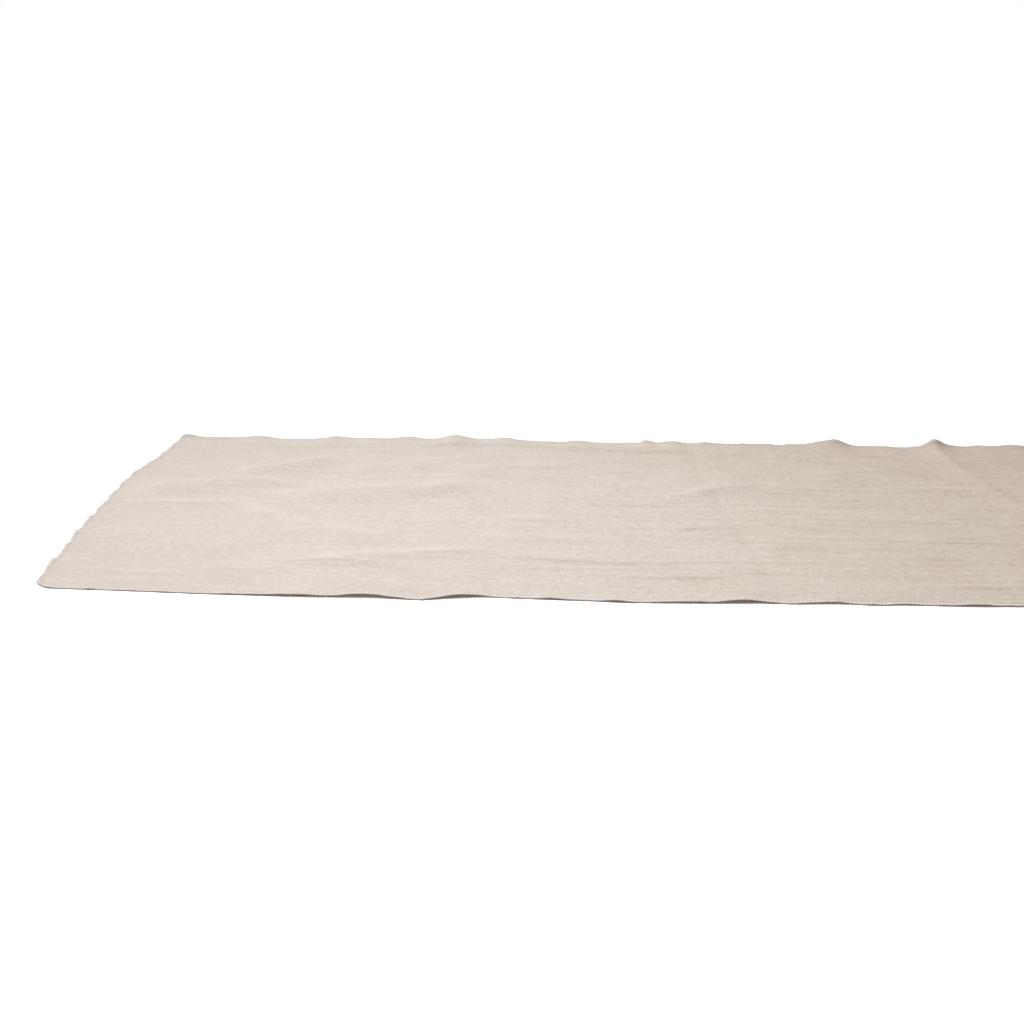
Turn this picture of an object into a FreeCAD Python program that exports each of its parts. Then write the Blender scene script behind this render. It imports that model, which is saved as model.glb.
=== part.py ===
import FreeCAD, Part
import math
import os

import Sketcher

# Table runner: one panel of washed linen whose cut edge is overlocked with three threads.
# The panel lies flat, its length along X, its width along Y, and +Z up. The origin is the
# middle of the underside. Lengths are in millimetres.
#
# A three-thread overlock goes once round the cut edge. The lower looper thread lies under the
# cloth and climbs to half the height of the edge. The upper looper thread lies on top and comes
# down to meet it. The needle thread is the row of straight stitches along their inner side.
# The cloth rides up over the lower looper thread, so its border stands one thread higher than
# its field and the whole underside is level. Each thread is drawn as the band that its stitches
# fill, all the way round.

DRIVING_SIZES = [
    ("runner_length", 1829.0, "over the middle of both bowed ends"),
    ("runner_width", 457.0, "between the two side edges"),
    ("end_bow", 9.0, "how far the middle of an end stands out past its corners"),
    ("corner_radius", 14.0, "rounding of the four corners"),
    ("cloth_thickness", 0.5, "washed plain-weave linen"),
    ("thread_thickness", 0.25, "an overlock thread, pressed"),
    ("overlock_width", 4.0, "from the cut edge to the row of needle stitches"),
    ("tail_length", 2.5, "trimmed thread chain, past the cut edge"),
    ("tail_thickness", 0.7, "diameter of the trimmed thread chain"),
]

doc = FreeCAD.newDocument("table_runner")
sizes = doc.addObject("Spreadsheet::Sheet", "sizes")
for row, (alias, value, meaning) in enumerate(DRIVING_SIZES, start=1):
    sizes.set(f"A{row}", meaning)
    sizes.set(f"B{row}", str(value))
    sizes.setAlias(f"B{row}", alias)
doc.recompute()

# Expressions that more than one piece is built from.
HALF_LENGTH = "sizes.runner_length / 2"
HALF_WIDTH = "sizes.runner_width / 2"
BOW_RADIUS = "(sizes.runner_width ^ 2 / 4 + sizes.end_bow ^ 2) / (2 * sizes.end_bow)"

# Distances from the cut edge, outwards.
CUT_EDGE = "0"
THREAD_OUTSIDE = "sizes.thread_thickness"
NEEDLE_LINE = "-sizes.overlock_width"
BORDER_INSIDE = "-(sizes.overlock_width + sizes.thread_thickness)"

# Heights above the underside.
BORDER_UNDERSIDE = "sizes.thread_thickness"
LOOPERS_MEET = "sizes.thread_thickness + sizes.cloth_thickness / 2"
BORDER_TOP = "sizes.cloth_thickness + sizes.thread_thickness"
OVERLOCK_HEIGHT = "sizes.cloth_thickness + 2 * sizes.thread_thickness"


def number(expression):
    """The value of an expression now, in millimetres."""
    result = sizes.evalExpression(expression)
    return float(getattr(result, "Value", result))


def set_size(sketch, name, kind, where, expression):
    """Adds a named dimension to a sketch and ties it to the sheet."""
    index = sketch.addConstraint(Sketcher.Constraint(kind, *where, number(expression)))
    sketch.renameConstraint(index, name)
    sketch.setExpression(f"Constraints.{name}", expression)


def add_outline(sketch, offset, place):
    """Draws the runner's outline, offset outwards from the cut edge, fully constrained.

    Two straight sides, two bowed ends and four corner arcs follow each other anticlockwise.
    """
    out = number(offset)
    half_width = number(HALF_WIDTH) + out
    half_length = number(HALF_LENGTH) + out
    bow_radius = number(BOW_RADIUS) + out
    radius = number("sizes.corner_radius") + out
    bow_x = half_length - bow_radius
    corner_y = half_width - radius
    corner_x = bow_x + math.sqrt((bow_radius - radius) ** 2 - corner_y**2)
    turn = math.atan2(corner_y, corner_x - bow_x)
    quarter, half = math.pi / 2, math.pi

    def side(from_x, to_x, at_y):
        start, end = (FreeCAD.Vector(at, at_y, 0) for at in (from_x, to_x))
        return sketch.addGeometry(Part.LineSegment(start, end), False)

    def arc(x, y, arc_radius, start, end):
        circle = Part.Circle(FreeCAD.Vector(x, y, 0), FreeCAD.Vector(0, 0, 1), arc_radius)
        return sketch.addGeometry(Part.ArcOfCircle(circle, start, end), False)

    front = side(-corner_x, corner_x, -half_width)
    front_right = arc(corner_x, -corner_y, radius, -quarter, -turn)
    right = arc(bow_x, 0, bow_radius, -turn, turn)
    back_right = arc(corner_x, corner_y, radius, turn, quarter)
    back = side(corner_x, -corner_x, half_width)
    back_left = arc(-corner_x, corner_y, radius, quarter, half - turn)
    left = arc(-bow_x, 0, bow_radius, half - turn, half + turn)
    front_left = arc(-corner_x, -corner_y, radius, half + turn, half + quarter)

    origin, x_axis = (-1, 1), -1
    start_point, end_point, centre_point = 1, 2, 3
    loop = [front, front_right, right, back_right, back, back_left, left, front_left]
    for curve, following in zip(loop, loop[1:] + loop[:1]):
        joined = (curve, end_point, following, start_point)
        sketch.addConstraint(Sketcher.Constraint("Tangent", *joined))

    for line in (front, back):
        sketch.addConstraint(Sketcher.Constraint("Horizontal", line))
    from_front = (front, start_point, *origin)
    to_back = (*origin, back, start_point)
    set_size(sketch, f"{place}_front", "DistanceY", from_front, f"{HALF_WIDTH} + {offset}")
    set_size(sketch, f"{place}_back", "DistanceY", to_back, f"{HALF_WIDTH} + {offset}")

    for end, name, side_sign in ((right, "right", 1), (left, "left", -1)):
        tip = FreeCAD.Vector(side_sign * half_length, 0, 0)
        middle = sketch.addGeometry(Part.Point(tip), True)
        for point in ((end, centre_point), (middle, start_point)):
            sketch.addConstraint(Sketcher.Constraint("PointOnObject", *point, x_axis))
        sketch.addConstraint(Sketcher.Constraint("PointOnObject", middle, start_point, end))
        reach = (*origin, middle, start_point) if end == right else (middle, start_point, *origin)
        set_size(sketch, f"{place}_{name}", "DistanceX", reach, f"{HALF_LENGTH} + {offset}")
        set_size(sketch, f"{place}_{name}_bow", "Radius", (end,), f"{BOW_RADIUS} + {offset}")

    corner_radius = f"sizes.corner_radius + {offset}"
    set_size(sketch, f"{place}_front_right", "Radius", (front_right,), corner_radius)
    set_size(sketch, f"{place}_back_right", "Radius", (back_right,), corner_radius)
    set_size(sketch, f"{place}_back_left", "Radius", (back_left,), corner_radius)
    set_size(sketch, f"{place}_front_left", "Radius", (front_left,), corner_radius)


def new_sketch(body, name, height, outer, inner=None):
    """A sketch of a body at that height: the outline at one offset, or the strip between two."""
    sketch = body.newObject("Sketcher::SketchObject", name)
    planes = {plane.Role: plane for plane in body.Origin.OriginFeatures}
    sketch.AttachmentSupport = [(planes["XY_Plane"], "")]
    sketch.MapMode = "FlatFace"
    sketch.setExpression("AttachmentOffset.Base.z", height)
    add_outline(sketch, outer, "outer")
    if inner is not None:
        add_outline(sketch, inner, "inner")
    return sketch


def add_feature(body, kind, name, sketch, depth, reverse=False):
    """A pad or a pocket of a sketch. A pad goes up and a pocket down, unless reversed."""
    made = body.newObject(f"PartDesign::{kind}", name)
    made.Profile = sketch
    made.Reversed = reverse
    made.setExpression("Length", depth)
    doc.recompute()
    return made


def cloth_panel():
    """The linen, its border raised by the thickness of the thread that lies under it."""
    body = doc.addObject("PartDesign::Body", "cloth_panel")
    whole = new_sketch(body, "cut_outline", "0 mm", CUT_EDGE)
    blank = add_feature(body, "Pad", "blank", whole, BORDER_TOP)
    field = new_sketch(body, "field_outline", BORDER_TOP, BORDER_INSIDE)
    lowered = add_feature(body, "Pocket", "lowered_field", field, "sizes.thread_thickness")
    border = new_sketch(body, "border_outline", "0 mm", THREAD_OUTSIDE, BORDER_INSIDE)
    raised = add_feature(body, "Pocket", "raised_border", border, BORDER_UNDERSIDE, reverse=True)
    if not blank.Shape.Volume > lowered.Shape.Volume > raised.Shape.Volume:
        raise RuntimeError("a pocket of the cloth panel cut nothing")
    return body


def looper_thread(name, band_height, wall_height):
    """A looper thread: a flat band on one face of the border and a wall at the cut edge."""
    body = doc.addObject("PartDesign::Body", name)
    band = new_sketch(body, f"{name}_band_outline", band_height, THREAD_OUTSIDE, NEEDLE_LINE)
    add_feature(body, "Pad", f"{name}_band", band, "sizes.thread_thickness")
    wall = new_sketch(body, f"{name}_wall_outline", wall_height, THREAD_OUTSIDE, CUT_EDGE)
    add_feature(body, "Pad", f"{name}_wall", wall, "sizes.cloth_thickness / 2")
    return body


def needle_thread():
    """The needle thread: the row of straight stitches inside the upper looper's band."""
    body = doc.addObject("PartDesign::Body", "needle_thread")
    row_outline = new_sketch(body, "needle_row", BORDER_TOP, NEEDLE_LINE, BORDER_INSIDE)
    add_feature(body, "Pad", "needle_stitches", row_outline, "sizes.thread_thickness")
    return body


def thread_tail():
    """The three threads' chain, cut short at the left end where the front corner's arc begins.

    The chain is drawn from one thickness inside the cut edge, and the overlock's own outline
    is cut away from it, so that it starts face to face with the looper threads.
    """
    tail_y = f"-({HALF_WIDTH} - sizes.corner_radius)"
    corner_reach = f"sqrt(({BOW_RADIUS} - sizes.corner_radius) ^ 2 - {tail_y} ^ 2)"
    edge_x = f"-({HALF_LENGTH} - {BOW_RADIUS} + {corner_reach} + sizes.corner_radius)"

    chain = doc.addObject("Part::Cylinder", "thread_chain")
    chain.setExpression("Radius", "sizes.tail_thickness / 2")
    chain.setExpression("Height", "sizes.tail_thickness + sizes.tail_length")
    chain.Placement.Rotation = FreeCAD.Rotation(FreeCAD.Vector(0, 1, 0), -90)
    chain.setExpression("Placement.Base.x", f"{edge_x} + sizes.tail_thickness")
    cut_end = doc.addObject("Part::Sphere", "chain_cut_end")
    cut_end.setExpression("Radius", "sizes.tail_thickness / 2")
    cut_end.setExpression("Placement.Base.x", f"{edge_x} - sizes.tail_length")
    for piece in (chain, cut_end):
        piece.setExpression("Placement.Base.y", tail_y)
        piece.setExpression("Placement.Base.z", f"({OVERLOCK_HEIGHT}) / 2")
    whole = doc.addObject("Part::Fuse", "whole_chain")
    whole.Base, whole.Tool = chain, cut_end

    envelope = doc.addObject("PartDesign::Body", "overlocked_outline")
    outside = new_sketch(envelope, "overlock_outside", "0 mm", THREAD_OUTSIDE)
    add_feature(envelope, "Pad", "overlocked_block", outside, OVERLOCK_HEIGHT)
    tail = doc.addObject("Part::Cut", "thread_tail")
    tail.Base, tail.Tool = whole, envelope
    return tail


parts = [
    cloth_panel(),
    needle_thread(),
    looper_thread("upper_looper_thread", BORDER_TOP, LOOPERS_MEET),
    looper_thread("lower_looper_thread", "0 mm", BORDER_UNDERSIDE),
    thread_tail(),
]
doc.recompute()

for made in doc.Objects:
    if {"Invalid", "Error"} & set(made.State):
        raise RuntimeError(f"{made.Label} failed: {made.State}")
for part in parts:
    if part.Shape.isNull() or not part.Shape.isValid() or not part.Shape.Solids:
        raise RuntimeError(f"{part.Label} has no valid solid")

os.makedirs("parts", exist_ok=True)
for part in parts:
    part.Shape.exportStep(f"parts/{part.Label}.step")
    print(f"{part.Label}: {len(part.Shape.Solids)} solid, {part.Shape.Volume:.2f} mm3")
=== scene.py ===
import math

import bpy
import numpy as np
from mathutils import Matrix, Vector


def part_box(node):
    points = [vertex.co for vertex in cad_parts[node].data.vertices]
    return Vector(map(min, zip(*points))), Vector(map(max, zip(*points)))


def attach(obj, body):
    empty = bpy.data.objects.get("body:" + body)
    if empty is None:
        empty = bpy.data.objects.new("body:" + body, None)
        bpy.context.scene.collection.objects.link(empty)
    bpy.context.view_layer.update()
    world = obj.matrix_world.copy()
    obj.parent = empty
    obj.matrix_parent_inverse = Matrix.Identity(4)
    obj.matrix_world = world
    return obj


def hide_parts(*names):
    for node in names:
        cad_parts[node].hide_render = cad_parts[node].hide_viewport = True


# A table runner of washed, undyed linen, laid flat. It is one panel of cloth with an overlocked
# edge. Lengths are in metres, and the runner lies along X with its underside on the table at z = 0.
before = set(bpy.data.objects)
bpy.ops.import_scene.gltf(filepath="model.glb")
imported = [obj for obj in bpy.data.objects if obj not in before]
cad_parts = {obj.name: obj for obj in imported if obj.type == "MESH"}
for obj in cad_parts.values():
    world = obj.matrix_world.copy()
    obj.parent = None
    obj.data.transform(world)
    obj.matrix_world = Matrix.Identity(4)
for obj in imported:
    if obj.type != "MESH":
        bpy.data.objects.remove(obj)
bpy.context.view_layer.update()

# ---------------------------------------------------------------------------------------------
# Table: a plain white top, larger than anything around the runner.
# It is lit like a window room: a soft sun from the far left, and a softbox over the near end of
# the runner that fades along its length.
# ---------------------------------------------------------------------------------------------
TABLE_REACH = 60.0

bpy.ops.mesh.primitive_plane_add(size=TABLE_REACH)
table_top = bpy.context.object
table_top.name = "table_top"
table_paint = bpy.data.materials.new("white_table_paint")
table_paint.use_nodes = True
table_shader = table_paint.node_tree.nodes["Principled BSDF"]
table_shader.inputs["Base Color"].default_value = (0.97, 0.97, 0.97, 1)
table_shader.inputs["Roughness"].default_value = 0.9
table_shader.inputs["Specular IOR Level"].default_value = 0.0
# A little light of its own stands for what a white room throws back, and keeps shadows pale.
table_shader.inputs["Emission Color"].default_value = (1.0, 0.80, 0.70, 1)
table_shader.inputs["Emission Strength"].default_value = 0.06
table_top.data.materials.append(table_paint)

AMBIENT = 0.26

room = bpy.data.worlds.new("studio_room")
bpy.context.scene.world = room
room.use_nodes = True
room_nodes, room_links = room.node_tree.nodes, room.node_tree.links
ambient = room_nodes["Background"]
ambient.inputs["Color"].default_value = (1.0, 0.69, 0.43, 1)
ambient.inputs["Strength"].default_value = AMBIENT
backdrop = room_nodes.new("ShaderNodeBackground")
backdrop.inputs["Color"].default_value = (1, 1, 1, 1)
seen_directly = room_nodes.new("ShaderNodeLightPath")
room_mix = room_nodes.new("ShaderNodeMixShader")
room_links.new(seen_directly.outputs["Is Camera Ray"], room_mix.inputs[0])
room_links.new(ambient.outputs[0], room_mix.inputs[1])
room_links.new(backdrop.outputs[0], room_mix.inputs[2])
room_links.new(room_mix.outputs[0], room_nodes["World Output"].inputs["Surface"])


def aim(light_object, place, target):
    """Puts a light at a place and points it at a target."""
    light_object.location = place
    direction = light_object.location - Vector(target)
    light_object.rotation_euler = direction.to_track_quat("Z", "Y").to_euler()


sun = bpy.data.lights.new("soft_sun", "SUN")
sun.energy = 4.72
sun.angle = math.radians(20)
sun.color = (0.977, 0.992, 0.985)
sun_object = bpy.data.objects.new("soft_sun", sun)
bpy.context.collection.objects.link(sun_object)
aim(sun_object, (-1.15, 1.65, 1.72), (0, 0, 0))

softbox = bpy.data.lights.new("left_softbox", "AREA")
softbox.shape = "RECTANGLE"
softbox.size = 0.7
softbox.size_y = 0.3
softbox.energy = 5.2
softbox.color = (0.72, 0.84, 1.03)
softbox_object = bpy.data.objects.new("left_softbox", softbox)
bpy.context.collection.objects.link(softbox_object)
softbox_object.visible_camera = False
aim(softbox_object, (-0.69, -0.08, 0.60), (-0.73, -0.08, 0.0))

CAMERA_PLACE = (-0.6336, -1.0309, 0.2652)
CAMERA_TURN = (75.226, -1.134, -0.762)
CAMERA_LENS_MM = 50.0

camera = bpy.data.cameras.new("camera")
camera.lens = CAMERA_LENS_MM
camera.sensor_width = 36.0
camera_object = bpy.data.objects.new("camera", camera)
bpy.context.collection.objects.link(camera_object)
camera_object.location = CAMERA_PLACE
camera_object.rotation_euler = [math.radians(turn) for turn in CAMERA_TURN]
bpy.context.scene.camera = camera_object
bpy.context.scene.view_settings.view_transform = "Standard"

# ---------------------------------------------------------------------------------------------
# Linen panel: one length of plain-weave linen, washed and soft, cut with slightly bowed ends and
# rounded corners. It was folded in half three times for packing, and lies as it was unfolded.
# ---------------------------------------------------------------------------------------------
CLOTH_THICKNESS = 0.0005
CORNER_RADIUS = 0.014
END_BOW = 0.009
THREAD_THICKNESS = 0.00025
OVERLOCK_WIDTH = 0.0042
EDGE_STAND = 0.00018
EIGHTHS = 8
# The seven packing folds, from the left: each stands up (1) or lies down (-1), and leans off square.
FOLD_SIDES = (-1, -1, 1, -1, -1, 1, 1)
FOLD_LEANS = (-0.045, 0.008, 0.025, -0.01, 0.02, -0.015, 0.03)

cloth_low, cloth_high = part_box("cloth_panel")
HALF_LENGTH = (cloth_high.x - cloth_low.x) / 2
HALF_WIDTH = (cloth_high.y - cloth_low.y) / 2

LINES_ALONG = 292
LINES_ACROSS = 166


def smooth_step(value, start, end):
    """0 before start, 1 after end, and a smooth rise between them."""
    share = np.clip((value - start) / (end - start), 0, 1)
    return share * share * (3 - 2 * share)


def spaced_lines(half, count, density):
    """Positions from -half to half, set closer where the density is higher.

    The first and last gaps are the overlock's width, so that a grid line runs under its needle
    stitches."""
    fine = np.linspace(-half + OVERLOCK_WIDTH, half - OVERLOCK_WIDTH, 6000)
    weight = density(fine)
    total = np.concatenate([[0], np.cumsum((weight[1:] + weight[:-1]) / 2)])
    inside = np.interp(np.linspace(0, total[-1], count - 2), total, fine)
    return np.concatenate([[-half], inside, [half]])


def density_along(x):
    """How fine the grid is along the runner: finest at the folds and at the two ends."""
    nearest_fold = np.abs(x - np.round(x / (2 * HALF_LENGTH / EIGHTHS)) * 2 * HALF_LENGTH / EIGHTHS)
    finest = 2.0 * np.exp(-((nearest_fold / 0.008) ** 2))
    ends = 2.5 * smooth_step(np.abs(x), HALF_LENGTH - 0.03, HALF_LENGTH - 0.012)
    unfolded_end = 0.9 * (1 - smooth_step(x, -0.15, 0.0))
    return 1 + finest + ends + unfolded_end


def density_across(y):
    """How fine the grid is across the runner: a little finer along the two side edges."""
    return 1 + 0.8 * smooth_step(np.abs(y), HALF_WIDTH - 0.03, HALF_WIDTH - 0.015)


def cut_outline(x, y):
    """Moves points of a rectangle to the cut outline: rounded corners, then bowed ends."""
    over_x = np.clip((np.abs(x) - (HALF_LENGTH - CORNER_RADIUS)) / CORNER_RADIUS, 0, 1)
    over_y = np.clip((np.abs(y) - (HALF_WIDTH - CORNER_RADIUS)) / CORNER_RADIUS, 0, 1)
    longest = np.maximum(over_x, over_y)
    reach = np.sqrt(over_x**2 + over_y**2)
    shrink = np.where(reach > 0, longest / np.maximum(reach, 1e-9), 1)
    in_corner = (over_x > 0) & (over_y > 0)
    corner_x = np.sign(x) * (HALF_LENGTH - CORNER_RADIUS + CORNER_RADIUS * over_x * shrink)
    corner_y = np.sign(y) * (HALF_WIDTH - CORNER_RADIUS + CORNER_RADIUS * over_y * shrink)
    x, y = np.where(in_corner, corner_x, x), np.where(in_corner, corner_y, y)
    return x * (1 - END_BOW / HALF_LENGTH * (y / HALF_WIDTH) ** 2), y


# The side edges and ends aren't perfectly straight. Each pair is a place along a side, and how
# far the cloth stands in from its cut line there.
NEAR_SIDE_DRIFT = [
    (-0.915, 0.0110), (-0.895, 0.0075), (-0.86, 0.0055), (-0.80, 0.0010), (-0.74, -0.0016),
    (-0.700, -0.0010), (-0.672, -0.0048), (-0.650, 0.0008), (-0.635, 0.0030), (-0.61, 0.0008),
    (-0.57, -0.0018), (-0.548, -0.0040), (-0.50, -0.0028), (-0.470, -0.0010), (-0.45, -0.0022),
    (-0.425, 0.0000), (-0.40, -0.0025), (-0.385, -0.0008), (-0.35, -0.0018), (-0.28, 0.0),
    (-0.10, -0.0020), (0.08, 0.0010), (0.30, -0.0015), (0.52, 0.0015), (0.72, -0.0010),
    (0.915, 0.0040),
]
FAR_SIDE_DRIFT = [
    (-0.915, 0.0020), (-0.895, 0.0075), (-0.870, 0.0095), (-0.842, 0.0050), (-0.810, 0.0125),
    (-0.790, 0.0095), (-0.765, 0.0040), (-0.745, 0.0030), (-0.715, 0.0010), (-0.685, 0.0030),
    (-0.655, 0.0000), (-0.610, 0.0015), (-0.578, 0.0050), (-0.552, 0.0035), (-0.530, 0.0060),
    (-0.500, 0.0035), (-0.470, 0.0020), (-0.400, 0.0010), (-0.370, 0.0035), (-0.345, 0.0000),
    (-0.290, 0.0022), (-0.262, 0.0042), (-0.215, 0.0000), (-0.10, 0.0015), (0.12, -0.0015),
    (0.33, 0.0020), (0.55, -0.0010), (0.74, 0.0025), (0.915, 0.0010),
]
# How far an end swells out beyond its even bow: the place across it, the swell and its breadth.
LEFT_END_SWELLS = [
    (0.226, 0.0030, 0.014), (0.145, -0.0014, 0.030), (0.060, 0.0030, 0.040), (0.008, 0.0010, 0.018),
    (-0.145, -0.0016, 0.030), (-0.212, -0.0012, 0.020), (0.0, -0.0010, 1.0),
]
RIGHT_END_SWELLS = [(-0.090, 0.0032, 0.045), (0.130, -0.0018, 0.035), (0.030, 0.0010, 0.030)]
END_SCALLOPS = [(0.037, 0.0005, 0.3), (0.019, 0.0003, 1.9)]


def wander(x, y):
    """Shifts the cut outline by the small unevenness of a hand-cut, washed cloth."""
    moved_y = np.array(y, float)
    for side, drift in ((-1, NEAR_SIDE_DRIFT), (1, FAR_SIDE_DRIFT)):
        places, shifts = zip(*drift)
        nearness = 1 - smooth_step(HALF_WIDTH - side * y, 0.0, 0.16)
        moved_y -= side * nearness * np.interp(x, places, shifts)
    moved_x = np.array(x, float)
    for end, swells in ((-1, LEFT_END_SWELLS), (1, RIGHT_END_SWELLS)):
        swell = sum(size * np.exp(-(((y - at) / breadth) ** 2)) for at, size, breadth in swells)
        scallop = sum(size * np.sin(2 * np.pi * y / pitch + phase) for pitch, size, phase in END_SCALLOPS)
        fade = np.exp(-(HALF_LENGTH - end * x) / 0.09)
        ripple_fade = np.exp(-(HALF_LENGTH - end * x) / 0.015)
        moved_x += end * (swell * fade + scallop * ripple_fade)
    return moved_x, moved_y


# Soft folds of the half that shows best. Each runs from one place to another and bows to its
# left by the fifth number. Then come its breadths on the left and on the right, and its height.
SOFT_FOLDS = [
    (-0.900, 0.010, -0.785, 0.042, 0.020, 0.016, 0.030, 0.0032),
    (-0.850, 0.038, -0.792, 0.048, 0.005, 0.010, 0.022, 0.0012),
    (-0.897, -0.014, -0.812, -0.010, -0.003, 0.009, 0.012, 0.0012),
    (-0.817, -0.004, -0.678, -0.111, -0.013, 0.010, 0.018, 0.0020),
    (-0.834, 0.078, -0.764, 0.152, -0.004, 0.011, 0.022, 0.0034),
    (-0.752, 0.088, -0.646, 0.144, 0.006, 0.011, 0.020, 0.0021),
    (-0.795, 0.008, -0.628, 0.058, -0.001, 0.013, 0.027, 0.0038),
    (-0.694, 0.018, -0.652, 0.036, 0.001, 0.008, 0.012, 0.0014),
    (-0.668, 0.100, -0.562, 0.128, 0.001, 0.011, 0.018, 0.0020),
    (-0.508, 0.008, -0.430, 0.084, -0.002, 0.008, 0.013, 0.0010),
    (-0.478, 0.030, -0.452, 0.048, 0.000, 0.006, 0.009, 0.0012),
    (-0.452, 0.047, -0.424, 0.065, 0.000, 0.006, 0.009, 0.0013),
    (-0.757, -0.160, -0.635, -0.128, 0.003, 0.012, 0.012, 0.0017),
    (-0.668, -0.096, -0.600, -0.094, 0.004, 0.009, 0.010, 0.0006),
    (-0.892, -0.080, -0.805, -0.136, -0.006, 0.010, 0.018, 0.0012),
    (-0.330, 0.060, -0.232, 0.057, 0.003, 0.011, 0.015, 0.0012),
    (-0.362, 0.102, -0.296, 0.126, 0.002, 0.010, 0.013, 0.0016),
    (-0.865, 0.200, -0.738, 0.192, -0.002, 0.020, 0.0056, 0.0012),
    (-0.712, 0.196, -0.558, 0.198, 0.004, 0.018, 0.0060, 0.0019),
    (-0.578, 0.198, -0.478, 0.187, 0.000, 0.018, 0.0060, 0.0019),
    (-0.492, 0.189, -0.405, 0.179, 0.000, 0.020, 0.0056, 0.0014),
]
# Painted highlights: crests whose colour is made a little paler, standing in for the light that they
# catch. They are set out like the folds, and the last number is how pale they are painted.
PAINTED_CREST_HIGHLIGHTS = [
    (-0.897, -0.012, -0.812, -0.009, -0.003, 0.005, 0.005, 0.55),
    (-0.817, -0.006, -0.676, -0.113, -0.013, 0.005, 0.005, 0.65),
    (-0.896, 0.018, -0.788, 0.052, 0.020, 0.006, 0.005, 0.40),
    (-0.832, 0.086, -0.764, 0.156, -0.004, 0.006, 0.005, 0.45),
    (-0.750, 0.093, -0.646, 0.148, 0.006, 0.006, 0.005, 0.25),
    (-0.792, 0.014, -0.625, 0.062, -0.001, 0.006, 0.005, 0.40),
    (-0.666, 0.105, -0.562, 0.132, 0.001, 0.006, 0.005, 0.22),
    (-0.506, 0.009, -0.432, 0.085, -0.002, 0.005, 0.004, 0.28),
    (-0.757, -0.156, -0.635, -0.124, 0.003, 0.006, 0.006, 0.60),
    (-0.655, -0.098, -0.580, -0.090, 0.004, 0.004, 0.004, 0.45),
    (-0.890, -0.078, -0.805, -0.134, -0.006, 0.005, 0.005, 0.30),
    (-0.325, 0.064, -0.236, 0.061, 0.003, 0.005, 0.005, 0.45),
    (-0.500, -0.157, -0.425, -0.166, 0.002, 0.003, 0.003, 0.55),
    (-0.490, -0.012, -0.330, -0.014, 0.006, 0.004, 0.004, 0.45),
]
# Sharp creases, set out like the folds, with their height last. Besides their height, they darken the
# cloth's colour along their lines: painted shade.
SHARP_CREASES = [
    (-0.545, -0.003, -0.498, -0.006, 0.000, 0.0030, 0.0030, 0.00060),
    (-0.692, -0.144, -0.632, -0.137, 0.003, 0.0030, 0.0030, 0.00026),
    (-0.632, -0.140, -0.500, -0.150, -0.006, 0.0030, 0.0030, 0.00080),
    (-0.520, -0.149, -0.375, -0.147, 0.000, 0.0030, 0.0030, 0.00035),
    (-0.765, -0.160, -0.688, -0.170, 0.005, 0.0034, 0.0034, 0.00045),
    (-0.508, -0.076, -0.432, -0.066, 0.006, 0.0030, 0.0030, 0.00050),
    (-0.425, -0.062, -0.366, -0.068, 0.002, 0.0030, 0.0030, 0.00045),
    (-0.612, -0.098, -0.546, -0.107, 0.001, 0.0032, 0.0032, 0.00028),
    (-0.852, -0.098, -0.703, -0.118, -0.004, 0.0035, 0.0035, 0.00024),
    (-0.560, 0.008, -0.545, -0.014, 0.000, 0.0040, 0.0040, 0.00050),
    (-0.505, -0.176, -0.330, -0.172, 0.003, 0.0026, 0.0026, 0.00040),
    (-0.480, -0.112, -0.300, -0.108, -0.002, 0.0026, 0.0026, 0.00030),
    (-0.470, 0.000, -0.250, -0.006, 0.005, 0.0028, 0.0028, 0.00035),
    (-0.420, -0.088, -0.270, -0.096, 0.002, 0.0026, 0.0026, 0.00030),
    (-0.390, -0.197, -0.180, -0.192, 0.001, 0.0026, 0.0026, 0.00035),
    (-0.560, -0.183, -0.470, -0.181, 0.001, 0.0026, 0.0026, 0.00035),
    (-0.452, 0.026, -0.330, 0.020, 0.003, 0.0030, 0.0030, 0.00035),
    (-0.352, -0.040, -0.220, -0.052, 0.002, 0.0030, 0.0030, 0.00035),
    (-0.482, -0.134, -0.288, -0.133, 0.001, 0.0028, 0.0028, 0.00030),
    (-0.642, -0.173, -0.458, -0.163, 0.003, 0.0028, 0.0028, 0.00035),
    (-0.626, -0.044, -0.584, -0.056, 0.000, 0.0030, 0.0030, 0.00035),
    (-0.546, -0.034, -0.488, -0.036, 0.001, 0.0028, 0.0028, 0.00030),
]
CREASE_DEPTH = 0.0006
# Where the edges stand off the table: the place along the edge, the height, the breadth, and how
# far into the cloth the lift reaches.
FAR_SIDE_LIFTS = [
    (-0.912, 0.0020, 0.009, 0.020), (-0.843, 0.0013, 0.007, 0.050), (-0.777, 0.0017, 0.011, 0.060),
    (-0.710, 0.0020, 0.010, 0.060), (-0.669, 0.0036, 0.014, 0.075), (-0.625, 0.0020, 0.012, 0.060),
    (-0.556, 0.0013, 0.008, 0.050), (-0.495, 0.0028, 0.005, 0.036), (-0.472, 0.0020, 0.009, 0.050),
    (-0.441, 0.0014, 0.007, 0.045), (-0.390, 0.0008, 0.012, 0.050), (-0.360, 0.0007, 0.010, 0.045),
    (-0.338, 0.0022, 0.010, 0.024), (-0.3225, 0.0052, 0.012, 0.025), (-0.281, 0.0007, 0.008, 0.040),
    (-0.2305, 0.0070, 0.0105, 0.025), (-0.214, 0.0009, 0.009, 0.024), (-0.190, 0.0017, 0.013, 0.055),
    (-0.158, 0.0033, 0.020, 0.060),
]
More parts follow.
